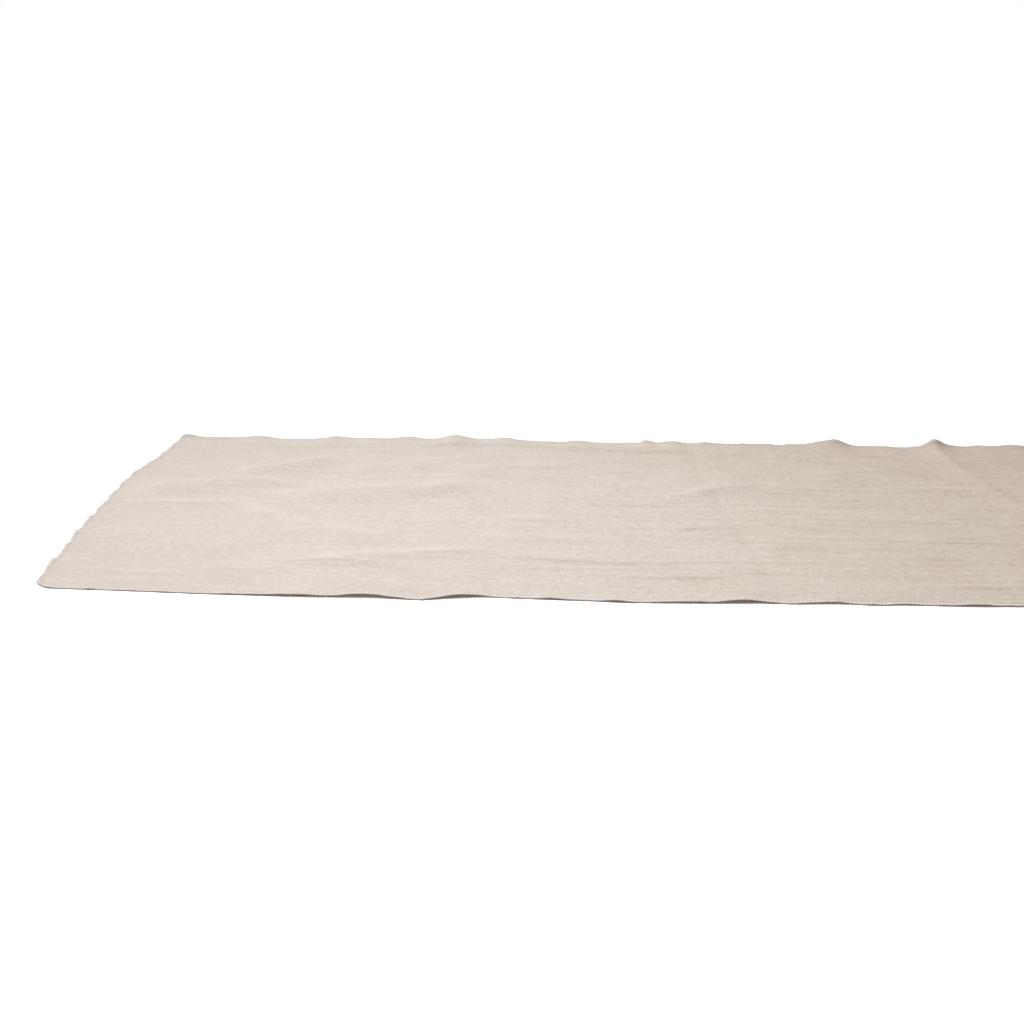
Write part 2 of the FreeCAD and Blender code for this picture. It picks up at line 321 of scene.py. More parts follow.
NEAR_SIDE_LIFTS = [
    (-0.790, 0.0004, 0.018, 0.032), (-0.754, 0.0013, 0.018, 0.034), (-0.712, 0.0020, 0.017, 0.036),
    (-0.656, 0.0019, 0.014, 0.034), (-0.600, 0.0008, 0.010, 0.030), (-0.561, 0.0009, 0.010, 0.030),
    (-0.520, 0.0009, 0.015, 0.032), (-0.485, 0.0020, 0.014, 0.034), (-0.434, 0.0009, 0.014, 0.032),
    (-0.388, 0.0004, 0.010, 0.030), (-0.344, 0.0010, 0.013, 0.034),
]
LEFT_END_LIFTS = [
    (0.222, 0.0006, 0.010, 0.028), (0.185, 0.0009, 0.010, 0.032), (0.147, 0.0011, 0.010, 0.036),
    (0.107, 0.0008, 0.010, 0.032), (0.078, 0.0008, 0.010, 0.030), (0.038, 0.0008, 0.010, 0.030),
    (-0.004, 0.0005, 0.009, 0.028), (-0.030, 0.0006, 0.009, 0.030), (-0.068, 0.0006, 0.009, 0.028),
    (-0.100, 0.0006, 0.009, 0.030), (-0.135, 0.0004, 0.010, 0.028), (-0.176, 0.0007, 0.010, 0.030),
]

# The rest of the runner has folds, creases and lifts of the same kinds, scattered evenly. The last
# row of creases is finer, and lies among those set out above.
scatter = np.random.default_rng(1829)


def scattered_folds(count, start, end, spans, slants, left_breadths, right_breadths, heights):
    """Folds or creases strewn over the runner, from start to end."""
    folds = []
    for _ in range(count):
        x, y = scatter.uniform(start, end), scatter.uniform(-0.19, 0.18)
        span, slant = scatter.uniform(*spans), math.radians(scatter.uniform(*slants))
        bow = scatter.uniform(-0.12, 0.12) * span
        end_x, end_y = x + span * math.cos(slant), y + span * math.sin(slant)
        shape = (bow, scatter.uniform(*left_breadths), scatter.uniform(*right_breadths))
        height = scatter.uniform(*heights)
        folds.append((x, y, end_x, min(max(end_y, -0.205), 0.205), *shape, height))
    return folds


def scattered_lifts(start, end, count, heights, breadths, depths):
    """Lifts strewn along an edge, from start to end."""
    gap = (end - start) / count
    places = start + gap * (np.arange(count) + scatter.uniform(0.2, 0.8, count))
    ranges = (heights, breadths, depths)
    return [(place, *(scatter.uniform(*pair) for pair in ranges)) for place in places]


SOFT_FOLDS += scattered_folds(
    26, -0.16, 0.84, (0.06, 0.19), (-45, 50), (0.010, 0.016), (0.014, 0.030), (0.0010, 0.0024)
)
SHARP_CREASES += scattered_folds(
    26, -0.16, 0.84, (0.06, 0.19), (-9, 9), (0.0028, 0.0035), (0.0028, 0.0035), (0.00030, 0.00065)
)
SHARP_CREASES += scattered_folds(
    46, -0.62, -0.22, (0.02, 0.07), (-9, 9), (0.0022, 0.0028), (0.0022, 0.0028), (0.00016, 0.00042)
)
FAR_SIDE_LIFTS += scattered_lifts(-0.12, 0.90, 17, (0.0010, 0.0042), (0.009, 0.020), (0.035, 0.070))
NEAR_SIDE_LIFTS += scattered_lifts(-0.30, 0.89, 19, (0.0006, 0.0020), (0.011, 0.020), (0.030, 0.036))
RIGHT_END_LIFTS = scattered_lifts(-0.21, 0.21, 10, (0.0005, 0.0013), (0.009, 0.012), (0.028, 0.036))


def fold_height(x, y, fold):
    """The height that one fold adds: a ridge along a bowed line, which fades at its ends."""
    start_x, start_y, end_x, end_y, bow, left_breadth, right_breadth, height = fold
    span = math.hypot(end_x - start_x, end_y - start_y)
    along_x, along_y = (end_x - start_x) / span, (end_y - start_y) / span
    along = ((x - start_x) * along_x + (y - start_y) * along_y) / span
    off_line = (y - start_y) * along_x - (x - start_x) * along_y
    off_line = off_line - bow * 4 * along * (1 - along)
    fade = smooth_step(along, -0.12, 0.25) * (1 - smooth_step(along, 0.75, 1.12))
    breadth = np.where(off_line > 0, left_breadth, right_breadth)
    return height * fade * np.exp(-((off_line / breadth) ** 2))


def edge_lift(place, from_edge, lifts):
    """The height that an edge's lifts add: full at the edge, and fading inside it."""
    total = np.zeros_like(place)
    for middle, height, breadth, depth in lifts:
        fade = np.clip(1 - from_edge / depth, 0, 1) ** 1.5
        total += height * fade * np.exp(-(((place - middle) / breadth) ** 2))
    return total


PUCKER_HEIGHT = 0.00022
PUCKER_WAVES = 14


def pucker(place, from_edge, seed):
    """Small ripples that the tight overlock gathers into an edge. They fade inside it."""
    waves = np.random.default_rng(seed)
    total = np.zeros_like(place)
    for _ in range(PUCKER_WAVES):
        total += np.sin(2 * np.pi * place / waves.uniform(0.014, 0.027) + waves.uniform(0, 2 * np.pi))
    return PUCKER_HEIGHT * np.clip(total / 2.6, 0, None) * np.exp(-from_edge / 0.016)


RIDGE_HEIGHT = 0.0004
RIDGE_RISE_AT_SIDES = 0.0030
RIDGE_CREST = 0.0005
VALLEY_SHOULDERS = 0.0007


def pressed_line(off_line, rounding, breadth):
    """A pressed fold's outline: 1 on its line, which is a little rounded, and 0 away from it."""
    return np.exp(-np.sqrt(off_line**2 + rounding**2) / breadth)


def packing_folds(x, y):
    """The seven folds across the runner. Valleys hold the cloth down, and ridges hold it up."""
    total = np.zeros_like(x)
    ridge = RIDGE_HEIGHT + RIDGE_RISE_AT_SIDES * smooth_step(np.abs(y), 0.05, 0.235) ** 3
    for number, (side, lean) in enumerate(zip(FOLD_SIDES, FOLD_LEANS), start=1):
        middle = -HALF_LENGTH + number * 2 * HALF_LENGTH / EIGHTHS
        off_fold = x - middle + lean * y
        if side > 0:
            total += ridge * pressed_line(off_fold, 0.002, 0.009)
            total += RIDGE_CREST * pressed_line(off_fold, 0.0008, 0.003)
        else:
            shoulders = VALLEY_SHOULDERS * (1 - pressed_line(off_fold, 0.0006, 0.006))
            total += shoulders * np.exp(-((off_fold / 0.05) ** 2))
    return total


def crumple(x, y, seed, count, along, across):
    """A field of gentle waves, from -1 to 1 or so, whose lengths lie in the two ranges."""
    waves = np.random.default_rng(seed)
    total = np.zeros_like(x)
    for _ in range(count):
        pitch_x, pitch_y = waves.uniform(*along), waves.uniform(*across)
        turn = waves.choice([-1, 1])
        phase = waves.uniform(0, 2 * np.pi)
        total += np.sin(2 * np.pi * (turn * x / pitch_x + y / pitch_y) + phase)
    return total / math.sqrt(count / 2) / 1.8


UNDULATION_HEIGHT = 0.00030
CRINKLE_HEIGHT = 0.00022
FINE_CRINKLE_HEIGHT = 0.00005


def underside_height(x, y):
    """How far the cloth's underside stands above the table at a place on the flat cloth."""
    from_side = HALF_WIDTH - np.abs(y)
    from_end = HALF_LENGTH - np.abs(x)
    height = UNDULATION_HEIGHT * (0.4 + crumple(x, y, 3, 26, (0.22, 0.60), (0.09, 0.26)))
    warp_x = x + 0.02 * crumple(x, y, 5, 12, (0.2, 0.5), (0.08, 0.2))
    warp_y = y + 0.003 * crumple(x, y, 6, 12, (0.10, 0.30), (0.06, 0.15))
    strength = 0.65 + 0.35 * crumple(x, y, 7, 10, (0.15, 0.4), (0.08, 0.2))
    crinkles = np.abs(crumple(warp_x, warp_y, 8, 30, (0.12, 0.60), (0.018, 0.045)))
    height += CRINKLE_HEIGHT * strength * (0.6 - crinkles)
    fine = crumple(warp_x, warp_y, 9, 40, (0.08, 0.40), (0.008, 0.016))
    height += FINE_CRINKLE_HEIGHT * strength * fine
    settled = smooth_step(np.minimum(from_side, from_end), -0.004, 0.040)
    height = np.clip(height + packing_folds(x, y), 0, None) * settled
    for fold in SOFT_FOLDS + SHARP_CREASES:
        height += fold_height(x, y, fold)
    near = y < 0
    height += np.where(near, edge_lift(x, from_side, NEAR_SIDE_LIFTS), 0)
    height += np.where(near, 0, edge_lift(x, from_side, FAR_SIDE_LIFTS))
    left = x < 0
    height += np.where(left, edge_lift(y, from_end, LEFT_END_LIFTS), 0)
    height += np.where(left, 0, edge_lift(y, from_end, RIGHT_END_LIFTS))
    height += pucker(x, from_side, 31) * np.where(near, 1.0, 1.3) + pucker(y, from_end, 32)
    from_edge = np.minimum(from_side, from_end)
    height = np.clip(height, 0, None)
    return height + EDGE_STAND * (1 - smooth_step(from_edge, OVERLOCK_WIDTH, 2.2 * OVERLOCK_WIDTH))


lines_x = spaced_lines(HALF_LENGTH, LINES_ALONG, density_along)
lines_y = spaced_lines(HALF_WIDTH, LINES_ACROSS, density_across)
flat_x, flat_y = np.meshgrid(lines_x, lines_y, indexing="ij")
laid_x, laid_y = wander(*cut_outline(flat_x, flat_y))
laid_z = underside_height(flat_x, flat_y)

under = np.stack([laid_x, laid_y, laid_z], -1).reshape(-1, 3)
over = under + [0, 0, CLOTH_THICKNESS]


def grid_index(i, j):
    """The number of the vertex on line i along the runner and line j across it."""
    return i * LINES_ACROSS + j


def edge_loop():
    """The (i, j) of each vertex on the cut edge, anticlockwise from the near left corner."""
    last_i, last_j = LINES_ALONG - 1, LINES_ACROSS - 1
    near_side = [(i, 0) for i in range(last_i)]
    right_end = [(last_i, j) for j in range(last_j)]
    far_side = [(i, last_j) for i in range(last_i, 0, -1)]
    left_end = [(0, j) for j in range(last_j, 0, -1)]
    return near_side + right_end + far_side + left_end


faces = []
below = LINES_ALONG * LINES_ACROSS
for i in range(LINES_ALONG - 1):
    for j in range(LINES_ACROSS - 1):
        corners = [grid_index(i, j), grid_index(i + 1, j), grid_index(i + 1, j + 1), grid_index(i, j + 1)]
        faces.append(corners)
        faces.append([below + corner for corner in reversed(corners)])
rim = [grid_index(i, j) for i, j in edge_loop()]
for here, after in zip(rim, rim[1:] + rim[:1]):
    faces.append([here, below + here, below + after, after])

linen_mesh = bpy.data.meshes.new("linen_panel")
linen_mesh.from_pydata(np.concatenate([over, under]).tolist(), [], faces)
linen_mesh.shade_smooth()
linen_mesh.set_sharp_from_angle(angle=math.radians(50))
weave_map = linen_mesh.uv_layers.new(name="weave")
flat_places = np.stack([flat_x, flat_y], -1).reshape(-1, 2)
flat_places = np.concatenate([flat_places, flat_places])
corner_vertices = np.zeros(len(linen_mesh.loops), int)
linen_mesh.loops.foreach_get("vertex_index", corner_vertices)
weave_map.data.foreach_set("uv", flat_places[corner_vertices].ravel())
# Painted shade and highlight: the sharp creases darken the cloth's colour along their lines, and the
# crest highlights lighten it along the crests. Both are kept in the crease attribute.
pressed = sum(fold_height(flat_x, flat_y, crease) for crease in SHARP_CREASES) / CREASE_DEPTH
pressed -= sum(fold_height(flat_x, flat_y, crest) for crest in PAINTED_CREST_HIGHLIGHTS)
painted_shade_and_highlight_values = linen_mesh.attributes.new("crease", "FLOAT", "POINT")
painted_shade_and_highlight_values.data.foreach_set("value", np.tile(pressed.ravel(), 2))
linen_panel = bpy.data.objects.new("linen_panel", linen_mesh)
bpy.context.collection.objects.link(linen_panel)


def node(tree, kind, **settings):
    """Adds a node to a tree and sets its options."""
    made = tree.nodes.new(kind)
    for name, value in settings.items():
        setattr(made, name, value)
    return made


def math_node(tree, operation, first, second=0.0, third=0.0):
    """Adds a Math node, and links or sets each of its inputs. Returns its result."""
    made = node(tree, "ShaderNodeMath", operation=operation)
    for socket, value in zip(made.inputs, (first, second, third)):
        if isinstance(value, bpy.types.NodeSocket):
            tree.links.new(value, socket)
        else:
            socket.default_value = value
    return made.outputs[0]


def group_tree(name, inputs, outputs):
    """Starts a shader node group with named inputs and outputs."""
    tree = bpy.data.node_groups.new(name, "ShaderNodeTree")
    for label, kind, value in inputs:
        socket = tree.interface.new_socket(label, in_out="INPUT", socket_type=kind)
        if value is not None:
            socket.default_value = value
    for label, kind in outputs:
        tree.interface.new_socket(label, in_out="OUTPUT", socket_type=kind)
    return tree, tree.nodes.new("NodeGroupInput"), tree.nodes.new("NodeGroupOutput")


def noise(tree, vector, scale, detail=2.0, roughness=0.5):
    """Adds a noise texture and returns its value, from 0 to 1."""
    made = node(tree, "ShaderNodeTexNoise")
    made.inputs["Scale"].default_value = scale
    made.inputs["Detail"].default_value = detail
    made.inputs["Roughness"].default_value = roughness
    tree.links.new(vector, made.inputs["Vector"])
    return made.outputs["Fac"]


def stretched(tree, vector, stretch):
    """A vector multiplied by a stretch in each direction."""
    made = node(tree, "ShaderNodeVectorMath", operation="MULTIPLY")
    tree.links.new(vector, made.inputs[0])
    made.inputs[1].default_value = stretch
    return made.outputs[0]


# The weave: warp along the runner and weft across it, one over and one under. Hand-spun yarn is
# thick and thin along its length, and no two yarns have quite the same tone.
weave, weave_in, weave_out = group_tree(
    "plain_weave",
    [("Vector", "NodeSocketVector", None), ("Yarn Pitch", "NodeSocketFloat", 0.00062)],
    [("Height", "NodeSocketFloat"), ("Tone", "NodeSocketFloat")],
)
split = node(weave, "ShaderNodeSeparateXYZ")
wobble = node(weave, "ShaderNodeTexNoise")
wobble.inputs["Scale"].default_value = 90.0
wobble.inputs["Detail"].default_value = 1.0
weave.links.new(weave_in.outputs["Vector"], wobble.inputs["Vector"])
bend = node(weave, "ShaderNodeVectorMath", operation="MULTIPLY_ADD")
weave.links.new(wobble.outputs["Color"], bend.inputs[0])
bend.inputs[1].default_value = (0.0007, 0.0007, 0.0)
weave.links.new(weave_in.outputs["Vector"], bend.inputs[2])
weave.links.new(bend.outputs[0], split.inputs[0])
yarn_x = math_node(weave, "DIVIDE", split.outputs["X"], weave_in.outputs["Yarn Pitch"])
yarn_y = math_node(weave, "DIVIDE", split.outputs["Y"], weave_in.outputs["Yarn Pitch"])
wave_x = math_node(weave, "SINE", math_node(weave, "MULTIPLY", yarn_x, math.pi))
wave_y = math_node(weave, "SINE", math_node(weave, "MULTIPLY", yarn_y, math.pi))
warp_on_top = math_node(weave, "GREATER_THAN", math_node(weave, "MULTIPLY", wave_x, wave_y), 0.0)
round_x = math_node(weave, "ABSOLUTE", wave_x)
round_y = math_node(weave, "ABSOLUTE", wave_y)
warp_arch = math_node(weave, "MULTIPLY", math_node(weave, "POWER", round_y, 0.6),
                      math_node(weave, "MULTIPLY_ADD", round_x, 0.45, 0.55))
weft_arch = math_node(weave, "MULTIPLY", math_node(weave, "POWER", round_x, 0.6),
                      math_node(weave, "MULTIPLY_ADD", round_y, 0.45, 0.55))
top_yarn = node(weave, "ShaderNodeMix", data_type="FLOAT")
weave.links.new(warp_on_top, top_yarn.inputs[0])
weave.links.new(weft_arch, top_yarn.inputs[2])
weave.links.new(warp_arch, top_yarn.inputs[3])
weave.links.new(top_yarn.outputs[0], weave_out.inputs["Height"])


def yarn_tone(across, along, slow):
    """Each yarn's own tone: a value that jumps from yarn to yarn and drifts along each one."""
    place = node(weave, "ShaderNodeCombineXYZ")
    weave.links.new(math_node(weave, "FLOOR", across), place.inputs[0])
    weave.links.new(math_node(weave, "MULTIPLY", along, slow), place.inputs[1])
    return noise(weave, place.outputs[0], 1.0, 1.0)


warp_tone = yarn_tone(yarn_y, yarn_x, 0.012)
weft_tone = yarn_tone(yarn_x, yarn_y, 0.016)
tone = node(weave, "ShaderNodeMix", data_type="FLOAT")
weave.links.new(warp_on_top, tone.inputs[0])
weave.links.new(weft_tone, tone.inputs[2])
weave.links.new(warp_tone, tone.inputs[3])
weave.links.new(tone.outputs[0], weave_out.inputs["Tone"])

LINEN_DARK = (0.242, 0.184, 0.132, 1)
LINEN_MIDDLE = (0.388, 0.333, 0.282, 1)
LINEN_LIGHT = (0.505, 0.452, 0.400, 1)
HUSK_BROWN = (0.37, 0.29, 0.17, 1)
HUSKS = [
    (-0.794, 0.033, 0.0018), (-0.704, -0.169, 0.0013), (-0.120, 0.101, 0.0009), (0.118, -0.066, 0.0010),
    (0.342, 0.152, 0.0008), (0.471, -0.171, 0.0010), (0.655, 0.018, 0.0009), (0.812, -0.094, 0.0011),
]

linen = bpy.data.materials.new("washed_linen")
linen.use_nodes = True
linen_tree = linen.node_tree
linen_shader = linen_tree.nodes["Principled BSDF"]
linen_shader.inputs["Roughness"].default_value = 0.86
linen_shader.inputs["Specular IOR Level"].default_value = 0.25
linen_shader.inputs["Sheen Weight"].default_value = 0.12
linen_shader.inputs["Sheen Roughness"].default_value = 0.45
linen_shader.inputs["Sheen Tint"].default_value = (1.0, 0.96, 0.90, 1)
on_cloth = node(linen_tree, "ShaderNodeUVMap", uv_map="weave").outputs[0]
linen_weave = node(linen_tree, "ShaderNodeGroup", node_tree=weave)
linen_tree.links.new(on_cloth, linen_weave.inputs["Vector"])
# Washing has drawn the yarns a little out of line, so the streaks along the runner wave.
YARN_DRIFT = 0.009
drift = noise(linen_tree, stretched(linen_tree, on_cloth, (14.0, 45.0, 1.0)), 1.0, 1.0)
drift_across = node(linen_tree, "ShaderNodeCombineXYZ")
linen_tree.links.new(math_node(linen_tree, "MULTIPLY", drift, YARN_DRIFT), drift_across.inputs["Y"])
drawn = node(linen_tree, "ShaderNodeVectorMath", operation="ADD")
linen_tree.links.new(on_cloth, drawn.inputs[0])
linen_tree.links.new(drift_across.outputs[0], drawn.inputs[1])
drawn_cloth = drawn.outputs[0]
slubs = noise(linen_tree, stretched(linen_tree, drawn_cloth, (11.0, 300.0, 1.0)), 1.0, 3.0, 0.6)
dashes = noise(linen_tree, stretched(linen_tree, on_cloth, (170.0, 400.0, 1.0)), 1.0, 2.0, 0.5)
cross_dashes = noise(linen_tree, stretched(linen_tree, on_cloth, (700.0, 120.0, 1.0)), 1.0, 2.0, 0.5)
clouds = noise(linen_tree, on_cloth, 34.0, 3.0, 0.6)
painted_crease_shade_and_highlight = node(linen_tree, "ShaderNodeAttribute", attribute_name="crease").outputs["Fac"]
shade = 0.5
for value, middle, amount in (
    (linen_weave.outputs["Tone"], 0.5, 0.30),
    # Painted shade: the low places of the weave, between the yarns, are coloured darker.
    (linen_weave.outputs["Height"], 0.72, 0.25),
    (slubs, 0.5, 0.42),
    (dashes, 0.5, 0.50),
    (cross_dashes, 0.5, 0.36),
    (clouds, 0.5, 0.22),
    # Painted shade along the sharp creases, and painted highlight along the crests.
    (painted_crease_shade_and_highlight, 0.0, -0.12),
):
    off_middle = math_node(linen_tree, "SUBTRACT", value, middle)
    shade = math_node(linen_tree, "MULTIPLY_ADD", off_middle, amount, shade)
# The yarn is a little more uneven further along the runner.
place_along = node(linen_tree, "ShaderNodeSeparateXYZ")
linen_tree.links.new(on_cloth, place_along.inputs[0])
unevenness = node(linen_tree, "ShaderNodeMapRange")
for label, value in (("From Min", -0.85), ("From Max", -0.30), ("To Min", 0.78), ("To Max", 1.20)):
    unevenness.inputs[label].default_value = value
linen_tree.links.new(place_along.outputs["X"], unevenness.inputs["Value"])
off_middle = math_node(linen_tree, "SUBTRACT", shade, 0.5)
shade = math_node(linen_tree, "MULTIPLY_ADD", off_middle, unevenness.outputs[0], 0.5)
linen_colours = node(linen_tree, "ShaderNodeValToRGB")
linen_colours.color_ramp.elements.new(0.5)
for stop, position, colour in zip(
    linen_colours.color_ramp.elements, (0.0, 0.5, 1.0), (LINEN_DARK, LINEN_MIDDLE, LINEN_LIGHT)
):
    stop.position, stop.color = position, colour
linen_tree.links.new(shade, linen_colours.inputs[0])

HUSK_SLIMNESS = 0.4
husk_mask = 0.0
husk_space = stretched(linen_tree, on_cloth, (1.0, HUSK_SLIMNESS, 1.0))
for husk_x, husk_y, husk_size in HUSKS:
    distance = node(linen_tree, "ShaderNodeVectorMath", operation="DISTANCE")
    linen_tree.links.new(husk_space, distance.inputs[0])
    distance.inputs[1].default_value = (husk_x, husk_y * HUSK_SLIMNESS, 0)
    inside = node(linen_tree, "ShaderNodeMapRange", interpolation_type="SMOOTHSTEP")
    linen_tree.links.new(distance.outputs["Value"], inside.inputs["Value"])
    inside.inputs["From Min"].default_value = husk_size * 1.3
    inside.inputs["From Max"].default_value = husk_size * 0.3
    husk_mask = math_node(linen_tree, "MAXIMUM", inside.outputs[0], husk_mask)
with_husks = node(linen_tree, "ShaderNodeMix", data_type="RGBA")
linen_tree.links.new(husk_mask, with_husks.inputs[0])
linen_tree.links.new(linen_colours.outputs[0], with_husks.inputs[6])
with_husks.inputs[7].default_value = HUSK_BROWN
linen_tree.links.new(with_husks.outputs[2], linen_shader.inputs["Base Color"])

creases = noise(linen_tree, stretched(linen_tree, drawn_cloth, (14.0, 120.0, 1.0)), 1.0, 3.0, 0.55)
creases = math_node(linen_tree, "ABSOLUTE", math_node(linen_tree, "SUBTRACT", creases, 0.5))
crease_bump = node(linen_tree, "ShaderNodeBump")
crease_bump.inputs["Strength"].default_value = 0.6
crease_bump.inputs["Distance"].default_value = 0.0014
linen_tree.links.new(creases, crease_bump.inputs["Height"])
weave_bump = node(linen_tree, "ShaderNodeBump")
weave_bump.inputs["Strength"].default_value = 0.55
weave_bump.inputs["Distance"].default_value = 0.00016
linen_tree.links.new(linen_weave.outputs["Height"], weave_bump.inputs["Height"])
linen_tree.links.new(crease_bump.outputs[0], weave_bump.inputs["Normal"])
linen_tree.links.new(weave_bump.outputs[0], linen_shader.inputs["Normal"])
linen_mesh.materials.append(linen)

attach(linen_panel, "root")
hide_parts("cloth_panel")

# ---------------------------------------------------------------------------------------------
# Overlock: three spun polyester threads that lock the cut edge all the way round.
# The needle thread, close to the linen's colour, is a row of straight stitches on top. The two
# paler looper threads zigzag from it to the cut edge, one over the cloth and one under it.
# ---------------------------------------------------------------------------------------------
STITCH_LENGTH = 0.0025
THREAD_RADIUS = THREAD_THICKNESS / 2
THREAD_SIDES = 5
SEAT_HEIGHT = 0.00015
NEEDLE_SEAT_HEIGHT = 0.00009
LOOPER_BENDS = 8
NEEDLE_BENDS = 4

loop = edge_loop()
mid_height = (under + over) / 2
edge_places = np.array([mid_height[grid_index(i, j)] for i, j in loop])
inner_places = np.array([
    mid_height[grid_index(min(max(i, 1), LINES_ALONG - 2), min(max(j, 1), LINES_ACROSS - 2))]
    for i, j in loop
])


def unit(vectors):
    """Vectors scaled to a length of one."""
    return vectors / np.linalg.norm(vectors, axis=1, keepdims=True)


inward = unit(inner_places - edge_places)
onward = unit(np.roll(edge_places, -1, axis=0) - np.roll(edge_places, 1, axis=0))
upward = unit(np.cross(onward, inward))
PERIMETER = float(np.linalg.norm(np.roll(edge_places, -1, axis=0) - edge_places, axis=1).sum())
STITCH_COUNT = round(PERIMETER / STITCH_LENGTH)


def edge_path(name):
    """A mesh of edges along the cut edge, with the directions inwards and upwards at each point."""
    count = len(edge_places)
    path = bpy.data.meshes.new(name)
    path.from_pydata(edge_places.tolist(), [(k, (k + 1) % count) for k in range(count)], [])
    for label, vectors in (("inward", inward), ("upward", upward)):
        attribute = path.attributes.new(label, "FLOAT_VECTOR", "POINT")
        attribute.data.foreach_set("vector", vectors.ravel())
    made = bpy.data.objects.new(name, path)
    bpy.context.collection.objects.link(made)
    return made


stitching = bpy.data.node_groups.new("overlock_stitching", "GeometryNodeTree")
for label, kind, value in (
    ("Path", "NodeSocketGeometry", None),
    ("Stitches", "NodeSocketInt", 100),
    ("Bends", "NodeSocketInt", LOOPER_BENDS),
    ("Pitch", "NodeSocketFloat", STITCH_LENGTH),
    ("Needle Line", "NodeSocketFloat", OVERLOCK_WIDTH),
    ("Swing", "NodeSocketFloat", 1.0),
    ("Face", "NodeSocketFloat", 1.0),
    ("Above Middle", "NodeSocketFloat", SEAT_HEIGHT),
    ("Arch", "NodeSocketFloat", 0.0),
    ("Lean", "NodeSocketFloat", 0.2),
    ("Thread Radius", "NodeSocketFloat", THREAD_RADIUS),
    ("Thread Sides", "NodeSocketInt", THREAD_SIDES),
    ("Unevenness", "NodeSocketFloat", 0.00010),
    ("Seed", "NodeSocketInt", 1),
    ("Thread", "NodeSocketMaterial", None),
):
    socket = stitching.interface.new_socket(label, in_out="INPUT", socket_type=kind)
    if value is not None:
        socket.default_value = value
stitching.interface.new_socket("Stitches Made", in_out="OUTPUT", socket_type="NodeSocketGeometry")
given = stitching.nodes.new("NodeGroupInput")
made_stitches = stitching.nodes.new("NodeGroupOutput")
given_of = given.outputs

to_curve = node(stitching, "GeometryNodeMeshToCurve")
stitching.links.new(given_of["Path"], to_curve.inputs[0])
resample = node(stitching, "GeometryNodeResampleCurve")
stitching.links.new(to_curve.outputs[0], resample.inputs["Curve"])
bend_total = math_node(stitching, "MULTIPLY", given_of["Stitches"], given_of["Bends"])
stitching.links.new(bend_total, resample.inputs["Count"])

bend_number = node(stitching, "GeometryNodeInputIndex").outputs[0]
turns = math_node(stitching, "DIVIDE", bend_number, given_of["Bends"])
phase = math_node(stitching, "MULTIPLY", turns, 2 * math.pi)
at_edge = math_node(stitching, "MULTIPLY_ADD", math_node(stitching, "COSINE", phase), 0.5, 0.5)
mid_stitch = math_node(stitching, "SUBTRACT", 1.0, at_edge)
at_edge = math_node(stitching, "MULTIPLY", at_edge, given_of["Swing"])
span = math_node(stitching, "ADD", given_of["Needle Line"], given_of["Thread Radius"])
outward_swing = math_node(stitching, "MULTIPLY", at_edge, span)
inset = math_node(stitching, "SUBTRACT", given_of["Needle Line"], outward_swing)
proud = math_node(stitching, "ADD", given_of["Above Middle"], given_of["Thread Radius"])
rise = math_node(stitching, "MULTIPLY", proud,
                 math_node(stitching, "SUBTRACT", 1.0, math_node(stitching, "POWER", at_edge, 5.0)))
rise = math_node(stitching, "MULTIPLY_ADD", mid_stitch, given_of["Arch"], rise)
rise = math_node(stitching, "MULTIPLY", rise, given_of["Face"])
lean = math_node(stitching, "MULTIPLY", math_node(stitching, "SINE", phase),
                 math_node(stitching, "MULTIPLY", given_of["Lean"], given_of["Pitch"]))

uneven = node(stitching, "FunctionNodeRandomValue", data_type="FLOAT_VECTOR")
uneven.inputs["Min"].default_value = (-1, -1, 0)
uneven.inputs["Max"].default_value = (1, 1, 0)
stitching.links.new(given_of["Seed"], uneven.inputs["Seed"])


def scaled(vector, amount):
    """A direction multiplied by an amount."""
    made = node(stitching, "ShaderNodeVectorMath", operation="SCALE")
    stitching.links.new(vector, made.inputs[0])
    stitching.links.new(amount, made.inputs["Scale"])
    return made.outputs[0]


def direction(name):
    """The direction that the path holds under that name."""
    held = node(stitching, "GeometryNodeInputNamedAttribute", data_type="FLOAT_VECTOR")
    held.inputs["Name"].default_value = name
    return held.outputs[0]


offset = None
for part in (
    scaled(direction("inward"), inset),
    scaled(direction("upward"), rise),
    scaled(node(stitching, "GeometryNodeInputTangent").outputs[0], lean),
    scaled(uneven.outputs[0], given_of["Unevenness"]),
):
    if offset is None:
        offset = part
        continue
    together = node(stitching, "ShaderNodeVectorMath", operation="ADD")
    stitching.links.new(offset, together.inputs[0])
    stitching.links.new(part, together.inputs[1])
    offset = together.outputs[0]

lay_thread = node(stitching, "GeometryNodeSetPosition")
stitching.links.new(resample.outputs[0], lay_thread.inputs["Geometry"])
stitching.links.new(offset, lay_thread.inputs["Offset"])
thread_ring = node(stitching, "GeometryNodeCurvePrimitiveCircle")
stitching.links.new(given_of["Thread Sides"], thread_ring.inputs["Resolution"])
stitching.links.new(given_of["Thread Radius"], thread_ring.inputs["Radius"])
thicken = node(stitching, "GeometryNodeCurveToMesh")
stitching.links.new(lay_thread.outputs[0], thicken.inputs["Curve"])
stitching.links.new(thread_ring.outputs[0], thicken.inputs["Profile Curve"])
rounded = node(stitching, "GeometryNodeSetShadeSmooth")
stitching.links.new(thicken.outputs[0], rounded.inputs[0])
realized = node(stitching, "GeometryNodeRealizeInstances")
stitching.links.new(rounded.outputs[0], realized.inputs[0])
dressed = node(stitching, "GeometryNodeSetMaterial")
stitching.links.new(realized.outputs[0], dressed.inputs["Geometry"])
stitching.links.new(given_of["Thread"], dressed.inputs["Material"])
stitching.links.new(dressed.outputs[0], made_stitches.inputs[0])

NEEDLE_THREAD_LIGHT = (0.52, 0.460, 0.395, 1)
NEEDLE_THREAD_DARK = (0.47, 0.412, 0.352, 1)
LOOPER_THREAD_LIGHT = (0.605, 0.539, 0.466, 1)
LOOPER_THREAD_DARK = (0.545, 0.480, 0.412, 1)


